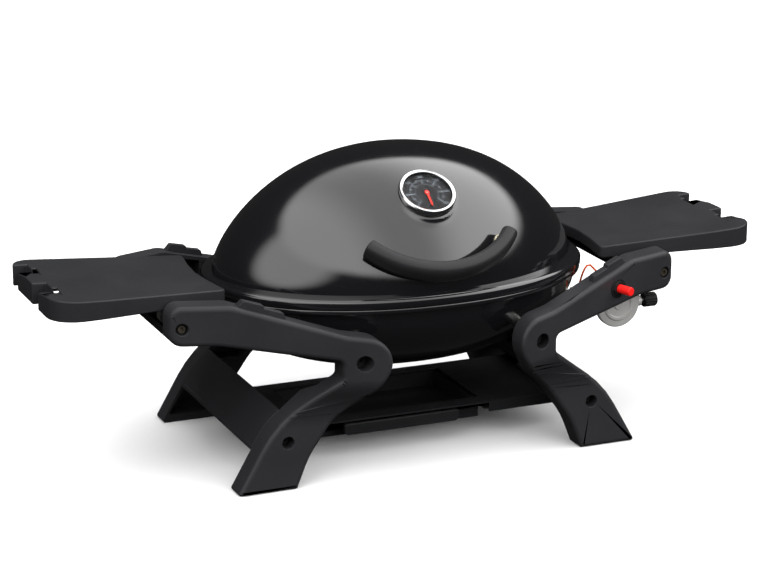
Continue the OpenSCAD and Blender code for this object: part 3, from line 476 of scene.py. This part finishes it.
def soften_knee(work, outward_y):
    """Cuts level rings through holes and bend, then moves the front from the creased to the swept skin."""
    for height in (*HOLE_HEIGHTS, *np.linspace(BEND_LOW, BEND_HIGH, 22)):
        every = work.verts[:] + work.edges[:] + work.faces[:]
        level = (0, 0, float(height))
        bmesh.ops.bisect_plane(work, geom=every, dist=SNAP, plane_co=level, plane_no=(0, 0, 1))
    place = np.array([vert.co[:] for vert in work.verts])
    x, z = np.abs(place[:, 0]), place[:, 2]
    outward = place[:, 1] * outward_y
    near_skin = np.clip((outward - (FOOT_SKIN_Y - LEG_THICK)) / LEG_THICK, 0.0, 1.0)
    outward += (swept_skin(x, z) - creased_skin(x, z)) * near_skin
    for vert, moved in zip(work.verts, outward):
        vert.co.y = moved * outward_y
    work.normal_update()


def skin_loops(work, outward_y):
    """Splits the boundary of the front skin into connected loops, longest first."""
    skin = {face for face in work.faces if face.normal.y * outward_y > 0.3}
    rim = {edge for edge in work.edges if sum(face in skin for face in edge.link_faces) == 1}
    loops = []
    while rim:
        loop = [rim.pop()]
        for edge in loop:
            near = [other for vert in edge.verts for other in vert.link_edges if other in rim]
            rim.difference_update(near)
            loop += near
        loops.append(loop)
    return sorted(loops, key=lambda loop: -sum(edge.calc_length() for edge in loop))


def moulded_leg(node):
    """Front skin softened at the knee, its outline rounded widely and its holes only slightly."""
    low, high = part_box(node)
    outward_y = 1.0 if low.y > 0 else -1.0
    work = whole_faces(node)
    weights = work.edges.layers.float.new("bevel_weight_edge")
    soften_knee(work, outward_y)
    loops = skin_loops(work, outward_y)
    for place, loop in enumerate(loops):
        for edge in loop:
            if edge.calc_face_angle(0) > SHARP_EDGE:
                edge[weights] = 1.0 if place == 0 else HOLE_ROUND / OUTLINE_ROUND
    mesh = plain_mesh(work, node + "_finished")
    mesh.set_sharp_from_angle(angle=SHARP_EDGE)
    piece = finished_piece(node + "_finished", mesh, [node], FINISH_OF[node])
    add_bevel(piece, "round_outline", OUTLINE_ROUND, 5, "WEIGHT", False)
    return [len(loop) for loop in loops]


for node in ("leg_front_left", "leg_front_right", "leg_back_left", "leg_back_right"):
    print(node, "skin loops", moulded_leg(node))

# %% [markdown]
# ## Oval surfaces
# The lid and the bowl are pressed from sheet over oval tools. Their plan is a superellipse, an oval
# that is a little squarer than an ellipse, so a ring needs only two half widths and a power.

# %% Rings of a superellipse
SMOOTH_TURN = math.radians(38)
CLOSED_GAP = 1e-6


def signed_power(value, power):
    return np.sign(value) * np.abs(value) ** power


def oval_rings(half_width, half_depth, height, power, around):
    """Grid of rings: x = a * cos^(2/p), y = b * sin^(2/p), z = ring height, angle along the ring."""
    angle = np.linspace(0.0, 2.0 * np.pi, around, endpoint=False)[None, :]
    share = 2.0 / power[:, None]
    x = half_width[:, None] * signed_power(np.cos(angle), share)
    y = half_depth[:, None] * signed_power(np.sin(angle), share)
    z = np.repeat(height[:, None], around, axis=1)
    return np.stack([x, y, z], axis=2)


def closed_mesh(name, grid, cap_first, cap_last):
    """Joins a grid of closed rings into faces, with an optional single point at either end."""
    rings, around, _ = grid.shape
    points = grid.reshape(-1, 3)
    ring = np.arange(rings - 1)[:, None] * around
    step = np.arange(around)[None, :]
    after = (step + 1) % around
    quads = np.stack([ring + step, ring + after, ring + around + after, ring + around + step], axis=2)
    faces = quads.reshape(-1, 4).tolist()
    if cap_first is not None:
        points = np.vstack([points, cap_first])
        top = len(points) - 1
        faces += [[int(b), int(a), top] for a, b in zip(step[0], after[0])]
    if cap_last is not None:
        points = np.vstack([points, cap_last])
        top = len(points) - 1
        start = (rings - 1) * around
        faces += [[int(start + a), int(start + b), top] for a, b in zip(step[0], after[0])]
    mesh = bpy.data.meshes.new(name)
    mesh.from_pydata(points.tolist(), [], faces)
    mesh.update()
    return mesh


def outward(mesh):
    """Turns every face of a closed mesh outwards and smooths it."""
    work = bmesh.new()
    work.from_mesh(mesh)
    bmesh.ops.remove_doubles(work, verts=work.verts, dist=CLOSED_GAP)
    bmesh.ops.recalc_face_normals(work, faces=work.faces)
    work.to_mesh(mesh)
    work.free()
    mesh.shade_smooth()
    mesh.set_sharp_from_angle(angle=SMOOTH_TURN)
    return mesh


# %% [markdown]
# ## The lid
# One grid runs from the dome's crown down the outside, round the rolled rim and back up the inside,
# so the sheet is closed and has a real thickness. The dome's half width follows a power of sin(t)
# and its height a power of cos(t). A small round seat lifts the thermometer clear of the slope.

# %% Lid surface
MM = 0.001
lid_low, lid_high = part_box("lid_shell")
RIM_A = lid_high.x - 0.5 * MM
RIM_B = lid_high.y - 0.5 * MM
RIM_Z = lid_low.z
SHEET = 2.0 * MM
DOME_A = RIM_A - 9.6 * MM
DOME_B = RIM_B - 10.7 * MM
DOME_Z = RIM_Z + 14.2 * MM
DOME_H = lid_high.z - DOME_Z
AROUND = 320
RIM_POWER = 2.14
DOME_POWER = 1.89
DOME_FLAT = 2 / 2.24
DOME_HIGH = 2 / 1.47
CROWN_GAP = math.radians(1.5)


def dome_rings(inset, count):
    """Rings from near the crown to the dome's foot, each inset from the outer surface."""
    t = np.linspace(CROWN_GAP, math.pi / 2, count)
    flat = np.sin(t) ** DOME_FLAT
    high = np.maximum(np.cos(t), 0.0) ** DOME_HIGH
    return (
        (DOME_A - inset) * flat,
        (DOME_B - inset) * flat,
        DOME_Z + (DOME_H - inset) * high,
        np.full(count, DOME_POWER),
    )


def rim_profile(steps):
    """Rings of the rim given as (inset from the rim oval, height above its lower edge, power)."""
    inset, height, power = np.array(steps).T
    return RIM_A - inset * MM, RIM_B - inset * MM, RIM_Z + height * MM, power


outer = dome_rings(0.0, 150)
rim = rim_profile([
    (9.0, 13.4, 1.95), (7.4, 12.75, 2.02), (5.2, 12.45, 2.08), (3.2, 12.1, 2.12), (1.6, 11.2, RIM_POWER),
    (0.4, 9.8, RIM_POWER), (-0.45, 8.2, RIM_POWER), (-0.3, 4.5, RIM_POWER), (0.0, 0.8, RIM_POWER),
    (0.5, 0.1, RIM_POWER), (1.5, 0.0, RIM_POWER), (2.0, 0.6, RIM_POWER), (2.0, 8.0, RIM_POWER),
    (4.0, 10.0, 2.1), (8.0, 10.8, 2.02), (11.0, 11.6, 1.95),
])
inner = [values[::-1] for values in dome_rings(SHEET, 60)]
lid_grid = oval_rings(*[np.concatenate(parts) for parts in zip(outer, rim, inner)], AROUND)
print("lid grid", lid_grid.shape)

# %% Thermometer seat
DIAL_TILT = math.radians(34.0)
DIAL_CENTRE = np.array([0.0, -0.108, 0.3445])
DIAL_R = 36.5 * MM
DIAL_HOLE_R = DIAL_R + 0.3 * MM
SEAT_R = DIAL_R + 1.2 * MM
SEAT_DROP = 3.2 * MM
SEAT_SLOPE = 1.25
SEAT_SOFT = 5.0 * MM
SEAT_REACH = 75.0 * MM
dial_axis = np.array([0.0, -math.sin(DIAL_TILT), math.cos(DIAL_TILT)])
dial_up = np.array([0.0, math.cos(DIAL_TILT), math.sin(DIAL_TILT)])
dial_side = np.array([1.0, 0.0, 0.0])
DIAL_FRAME = np.stack([dial_side, dial_up, dial_axis])


def raise_seat(grid, rings):
    """Smooth maximum of the dome's height and a flat-topped cone, both measured along the dial."""
    local = (grid[:rings] - DIAL_CENTRE) @ DIAL_FRAME.T
    radius = np.hypot(local[..., 0], local[..., 1])
    cone = -SEAT_DROP - np.maximum(radius - SEAT_R, 0.0) * SEAT_SLOPE
    gap = local[..., 2] - cone
    blend = np.maximum(SEAT_SOFT - np.abs(gap), 0.0)
    raised = np.maximum(local[..., 2], cone) + blend ** 2 / (4.0 * SEAT_SOFT)
    near = radius < SEAT_REACH
    local[..., 2] = np.where(near, raised, local[..., 2])
    grid[:rings] = local @ DIAL_FRAME + DIAL_CENTRE
    return grid


lid_grid = raise_seat(lid_grid, len(outer[0]))
crown = np.array([[0.0, 0.0, DOME_Z + DOME_H]])
lid_mesh = outward(closed_mesh("lid_finished", lid_grid, crown, crown - [[0, 0, SHEET]]))


# %% Holes are cut with a boolean
def cutter(radius, low, high, centre, axis_frame, sides=96):
    """Closed cylinder along the frame's third axis, used once as a cutting tool."""
    angle = np.linspace(0, 2 * np.pi, sides, endpoint=False)
    ring = np.stack([np.cos(angle) * radius, np.sin(angle) * radius], axis=1)
    grid = np.stack([np.column_stack([ring, np.full(sides, h)]) for h in (low, high)])
    grid = grid @ axis_frame + centre
    ends = np.array([[0, 0, low], [0, 0, high]]) @ axis_frame + centre
    mesh = outward(closed_mesh("cutter", grid, ends[:1], ends[1:]))
    tool = bpy.data.objects.new("cutter", mesh)
    bpy.context.scene.collection.objects.link(tool)
    return tool


def cut_with(mesh, tools):
    """Subtracts each tool from the mesh and returns the result as a new mesh."""
    holder = bpy.data.objects.new("holder", mesh)
    bpy.context.scene.collection.objects.link(holder)
    for tool in tools:
        cut = holder.modifiers.new("cut", "BOOLEAN")
        cut.operation = "DIFFERENCE"
        cut.solver = "EXACT"
        cut.object = tool
    bpy.context.view_layer.update()
    made = bpy.data.meshes.new_from_object(holder.evaluated_get(bpy.context.evaluated_depsgraph_get()))
    bpy.data.objects.remove(holder)
    for tool in tools:
        bpy.data.objects.remove(tool)
    made.name = mesh.name
    made.set_sharp_from_angle(angle=SMOOTH_TURN)
    return made


DIAL_HOLE_TOP = 40 * MM
dial_hole = cutter(DIAL_HOLE_R, -SEAT_DROP, DIAL_HOLE_TOP, DIAL_CENTRE, DIAL_FRAME)
lid_mesh = cut_with(lid_mesh, [dial_hole])
finished_piece("lid_finished", lid_mesh, ["lid_shell"], ENAMEL)
print("lid faces", len(lid_mesh.polygons))

# %% [markdown]
# ## The bowl
# The bowl is drawn the same way, from its rolled rim down to the drain hole. Its inside has the
# ledge that carries the two grates.

# %% Bowl surface
bowl_low, bowl_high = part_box("bowl")
BOWL_A = RIM_A - 7.0 * MM
BOWL_B = RIM_B - 7.0 * MM
BOWL_Z = bowl_high.z - 2.0 * MM
BOWL_DEPTH = BOWL_Z - bowl_low.z
BOWL_FLAT = 2 / 2.3
BOWL_FLOOR_GAP = math.radians(2.0)
DRAIN_R = 9.0 * MM
VENTURI_HOLE_R = 10.5 * MM


def bowl_rings(inset, start, count):
    """Rings from a start angle to near the bottom: width by a power of sin(t), depth by cos(t)."""
    t = np.linspace(math.radians(start), BOWL_FLOOR_GAP, count)
    flat = np.sin(t) ** BOWL_FLAT
    return (
        (BOWL_A - inset) * flat,
        (BOWL_B - inset) * flat,
        BOWL_Z - (BOWL_DEPTH - inset) * np.cos(t),
        np.full(count, RIM_POWER),
    )


def bowl_profile(steps):
    """Rim rings as (inset from the lid's rim oval, height above the bowl's datum)."""
    inset, height = np.array(steps).T
    return RIM_A - inset * MM, RIM_B - inset * MM, BOWL_Z + height * MM, np.full(len(inset), RIM_POWER)


inside = [values[::-1] for values in bowl_rings(SHEET, 66.0, 50)]
ledge = bowl_profile([(21.0, -29.0), (21.0, -24.2), (20.4, -23.2), (12.0, -23.0), (11.0, -22.4), (11.0, 0.6),
                      (9.8, 1.8), (8.0, 2.0)])
roll = bowl_profile([(3.0, 2.0), (1.6, 1.4), (1.0, 0.2), (1.0, -2.6), (1.6, -4.0), (3.2, -4.9), (5.4, -5.6)])
outside = bowl_rings(0.0, 83.0, 110)
bowl_grid = oval_rings(*[np.concatenate(parts) for parts in zip(inside, ledge, roll, outside)], AROUND)
bowl_floor = np.array([[0.0, 0.0, BOWL_Z - BOWL_DEPTH]])
bowl_mesh = outward(closed_mesh("bowl_finished", bowl_grid, bowl_floor + [[0, 0, SHEET]], bowl_floor))

ALONG_X = np.array([[0.0, 1.0, 0.0], [0.0, 0.0, 1.0], [1.0, 0.0, 0.0]])
UPRIGHT = np.eye(3)
venturi_low, venturi_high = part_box("venturi_tube")
venturi_centre = np.array([0.0, (venturi_low.y + venturi_high.y) / 2, (venturi_low.z + venturi_high.z) / 2])
bowl_mesh = cut_with(bowl_mesh, [
    cutter(DRAIN_R, -0.02, 0.02, bowl_floor[0], UPRIGHT),
    cutter(VENTURI_HOLE_R, 0.15, 0.26, venturi_centre, ALONG_X),
])
finished_piece("bowl_finished", bowl_mesh, ["bowl"], ENAMEL)
print("bowl faces", len(bowl_mesh.polygons))

# %% [markdown]
# ## The handle
# The handle is a thick arc of heat-proof plastic whose two ends meet the lid. Its section
# is a superellipse, fuller than an ellipse, and it is swept round the arc with softly closed ends.

# %% Handle surface
HANDLE_ARC = 120.0 * MM
HANDLE_SPAN = math.radians(53.0)
HANDLE_TIP = math.radians(37.0)
HANDLE_END = np.array([0.0, -150.0 * MM, 293.0 * MM])
HANDLE_ENDS_R = 124.0 * MM
HANDLE_HALF = np.array([10.5 * MM, 13.5 * MM])
HANDLE_SHARE = 2 / 2.7
END_ROUND = 2.5 * MM

arc_out = np.array([0.0, math.cos(HANDLE_TIP), math.sin(HANDLE_TIP)])
arc_up = np.array([0.0, -math.sin(HANDLE_TIP), math.cos(HANDLE_TIP)])
arc_centre = HANDLE_END + arc_out * HANDLE_ENDS_R * math.cos(HANDLE_SPAN)


def handle_grid(along, around):
    """Section scaled down over the last millimetres of the arc by a quarter circle, so the ends close."""
    turn = np.linspace(-1.0, 1.0, along)
    turn = np.sin(turn * math.pi / 2) * HANDLE_SPAN
    left = (HANDLE_SPAN - np.abs(turn)) * HANDLE_ARC
    shrink = np.where(left < END_ROUND, 1 - np.sqrt(np.maximum(0, 1 - (1 - left / END_ROUND) ** 2)), 0.0)
    angle = np.linspace(0, 2 * np.pi, around, endpoint=False)
    half_wide = HANDLE_HALF[0] - END_ROUND * shrink[:, None]
    half_tall = HANDLE_HALF[1] - END_ROUND * shrink[:, None]
    wide = signed_power(np.cos(angle), HANDLE_SHARE)[None, :] * half_wide
    tall = signed_power(np.sin(angle), HANDLE_SHARE)[None, :] * half_tall
    radial = np.stack([np.sin(turn), np.zeros_like(turn), np.zeros_like(turn)], axis=1)
    radial -= np.cos(turn)[:, None] * arc_out
    return arc_centre + radial[:, None, :] * (HANDLE_ARC + wide)[..., None] + tall[..., None] * arc_up


handle_points = handle_grid(121, 48)
handle_mesh = closed_mesh("handle_finished", handle_points, handle_points[:1].mean(axis=1),
                          handle_points[-1:].mean(axis=1))
finished_piece("handle_finished", outward(handle_mesh), ["lid_handle"], HANDLE_PLASTIC)
print("handle faces", len(handle_mesh.polygons))

# %% [markdown]
# ## The thermometer's dial
# A printed dial is two things: short strokes round a scale, and numbers. The strokes are thin boxes
# turned round the dial, and the numbers are text made into a mesh before it is put in place.

# %% Dial marks
SCALE_START = math.radians(225.0)
SCALE_SWEEP = math.radians(-270.0)
DIAL_FACE = 2.0 * MM
INK = 0.00006
MARK_HEIGHT = DIAL_FACE + INK
# Each scale: strokes, inner radius, outer radius and stroke width, in millimetres.
SCALES = [(61, 20.6, 22.4, 0.35), (13, 19.2, 22.8, 0.9), (37, 14.4, 15.8, 0.4)]
NUMBERS = 7
# Each ring of numbers: its first number, which is also its step, then the text's height and radius.
RINGS = [(50, 5.0 * MM, 27.2 * MM), (100, 2.8 * MM, 17.4 * MM)]


def dial_strokes(count, inner_r, outer_r, width):
    """Thin quads: each runs from the inner to the outer radius at its own angle on the scale."""
    angle = SCALE_START + SCALE_SWEEP * np.arange(count) / (count - 1)
    out = np.stack([np.cos(angle), np.sin(angle)], axis=1)
    across = np.stack([-np.sin(angle), np.cos(angle)], axis=1) * width / 2
    corners = np.stack([out * inner_r - across, out * outer_r - across,
                        out * outer_r + across, out * inner_r + across], axis=1)
    points = np.dstack([corners, np.full((count, 4), MARK_HEIGHT)]).reshape(-1, 3)
    faces = np.arange(count * 4).reshape(-1, 4)
    return points, faces.tolist()


def dial_number(text, size, radius, angle):
    """Text as a flat mesh, centred at a radius and an angle on the dial."""
    curve = bpy.data.curves.new("number", "FONT")
    curve.body = text
    curve.size = size
    curve.align_x = "CENTER"
    curve.align_y = "CENTER"
    curve.resolution_u = 3
    holder = bpy.data.objects.new("number", curve)
    bpy.context.scene.collection.objects.link(holder)
    bpy.context.view_layer.update()
    flat = bpy.data.meshes.new_from_object(holder.evaluated_get(bpy.context.evaluated_depsgraph_get()))
    points = np.zeros(len(flat.vertices) * 3)
    flat.vertices.foreach_get("co", points)
    points = points.reshape(-1, 3) + [radius * math.cos(angle), radius * math.sin(angle), MARK_HEIGHT]
    faces = [list(face.vertices) for face in flat.polygons]
    bpy.data.objects.remove(holder)
    return points, faces


parts = [dial_strokes(count, inner_r * MM, outer_r * MM, width * MM)
         for count, inner_r, outer_r, width in SCALES]
for step in range(NUMBERS):
    angle = SCALE_START + SCALE_SWEEP * step / (NUMBERS - 1)
    for number, size, radius in RINGS:
        parts.append(dial_number(str(number * (step + 1)), size, radius, angle))
points, faces = [], []
for some_points, some_faces in parts:
    start = sum(len(p) for p in points)
    points.append(some_points)
    faces += [[start + i for i in face] for face in some_faces]
mark_points = np.vstack(points) @ DIAL_FRAME + DIAL_CENTRE
marks_mesh = bpy.data.meshes.new("dial_marks")
marks_mesh.from_pydata(mark_points.tolist(), [], faces)
marks_mesh.materials.append(DIAL_WHITE)
marks = bpy.data.objects.new("dial_marks", marks_mesh)
bpy.context.scene.collection.objects.link(marks)
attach(marks, "lid")
print("dial marks", len(faces))

# %% [markdown]
# ## Studio
# A glossy black lid shows its surroundings more than itself. A round bright panel overhead, leaning
# to the front, gives the broad soft sheen, a lower one at the left carries it down, and darkness
# everywhere else draws the black outlines. The camera itself sees plain white behind the grill.

# %% Floor and light
floor_mesh = bpy.data.meshes.new("floor")
REACH = 8.0
floor_corners = [(-REACH, -REACH, 0), (REACH, -REACH, 0), (REACH, REACH, 0), (-REACH, REACH, 0)]
floor_mesh.from_pydata(floor_corners, [], [(0, 1, 2, 3)])
floor = bpy.data.objects.new("floor", floor_mesh)
bpy.context.scene.collection.objects.link(floor)
floor_finish = Finish("pale_floor", (0.92, 0.92, 0.92), 0.9)
floor_mesh.materials.append(floor_finish.material)
floor.visible_glossy = False
floor.visible_diffuse = False

world = bpy.data.worlds.new("studio")
bpy.context.scene.world = world
world.use_nodes = True
sky = world.node_tree
sky.nodes.clear()


def sky_dot(direction):
    """Cosine of the angle between a ray and a direction."""
    node = sky.nodes.new("ShaderNodeVectorMath")
    node.operation = "DOT_PRODUCT"
    sky.links.new(looking.outputs["Generated"], node.inputs[0])
    node.inputs[1].default_value = direction
    return Wire(sky, node.outputs["Value"])


def sky_step(wire, low, high):
    """Soft step from 0 at the low value to 1 at the high one."""
    node = sky.nodes.new("ShaderNodeMapRange")
    node.interpolation_type = "SMOOTHSTEP"
    sky.links.new(wire.socket, node.inputs["Value"])
    node.inputs["From Min"].default_value = low
    node.inputs["From Max"].default_value = high
    return Wire(sky, node.outputs[0])


def toward(turn, climb):
    """Unit vector at an angle round from the camera's side and an angle above the table."""
    turn = math.radians(turn) + CAMERA_TURN
    climb = math.radians(climb)
    return (math.sin(turn) * math.cos(climb), -math.cos(turn) * math.cos(climb), math.sin(climb))


def soft_disc(direction, outer, inner):
    """Round panel of sky: 0 outside the outer angle from a direction, 1 inside the inner angle."""
    return sky_step(sky_dot(direction), math.cos(math.radians(outer)), math.cos(math.radians(inner)))


OVERHEAD_GLOW, RIGHT_GLOW, LEFT_GLOW = 2.1, 2.3, 1.5
LOW_LEFT_GLOW = 2.9
FILL_GLOW = 0.03
looking = sky.nodes.new("ShaderNodeTexCoord")
far_right = sky_dot(toward(120, 0))
overhead = soft_disc(toward(55, 70), 60, 52)
panels = (OVERHEAD_GLOW + sky_step(far_right, 0.10, 0.60) * RIGHT_GLOW
          + sky_step(far_right * -1.0, 0.05, 0.45) * LEFT_GLOW)
low_left = soft_disc(toward(-42, 33), 35, 19)
strength = overhead * panels + low_left * (1.0 - overhead) * LOW_LEFT_GLOW + FILL_GLOW
rays = sky.nodes.new("ShaderNodeLightPath")
seen = Wire(sky, rays.outputs["Is Camera Ray"])
strength = strength * (1.0 - seen) + seen
glow = sky.nodes.new("ShaderNodeBackground")
out = sky.nodes.new("ShaderNodeOutputWorld")
sky.links.new(strength.socket, glow.inputs["Strength"])
sky.links.new(glow.outputs[0], out.inputs[0])


def soft_light(name, place, aim, width, height, power):
    """Rectangular lamp that faces a point."""
    lamp = bpy.data.lights.new(name, "AREA")
    lamp.shape = "RECTANGLE"
    lamp.size = width
    lamp.size_y = height
    lamp.energy = power
    holder = bpy.data.objects.new(name, lamp)
    holder.location = place
    holder.rotation_euler = (Vector(aim) - Vector(place)).to_track_quat("-Z", "Y").to_euler()
    holder.visible_glossy = False
    bpy.context.scene.collection.objects.link(holder)
    return holder


soft_light("key", (-1.6, -1.4, 2.2), (0, 0, 0.2), 1.6, 1.6, 16)
soft_light("front", (0.8, -2.6, 0.9), (0.1, -0.1, 0.15), 1.6, 1.2, 30)
bpy.context.scene.view_settings.view_transform = "Standard"
print("studio ready")
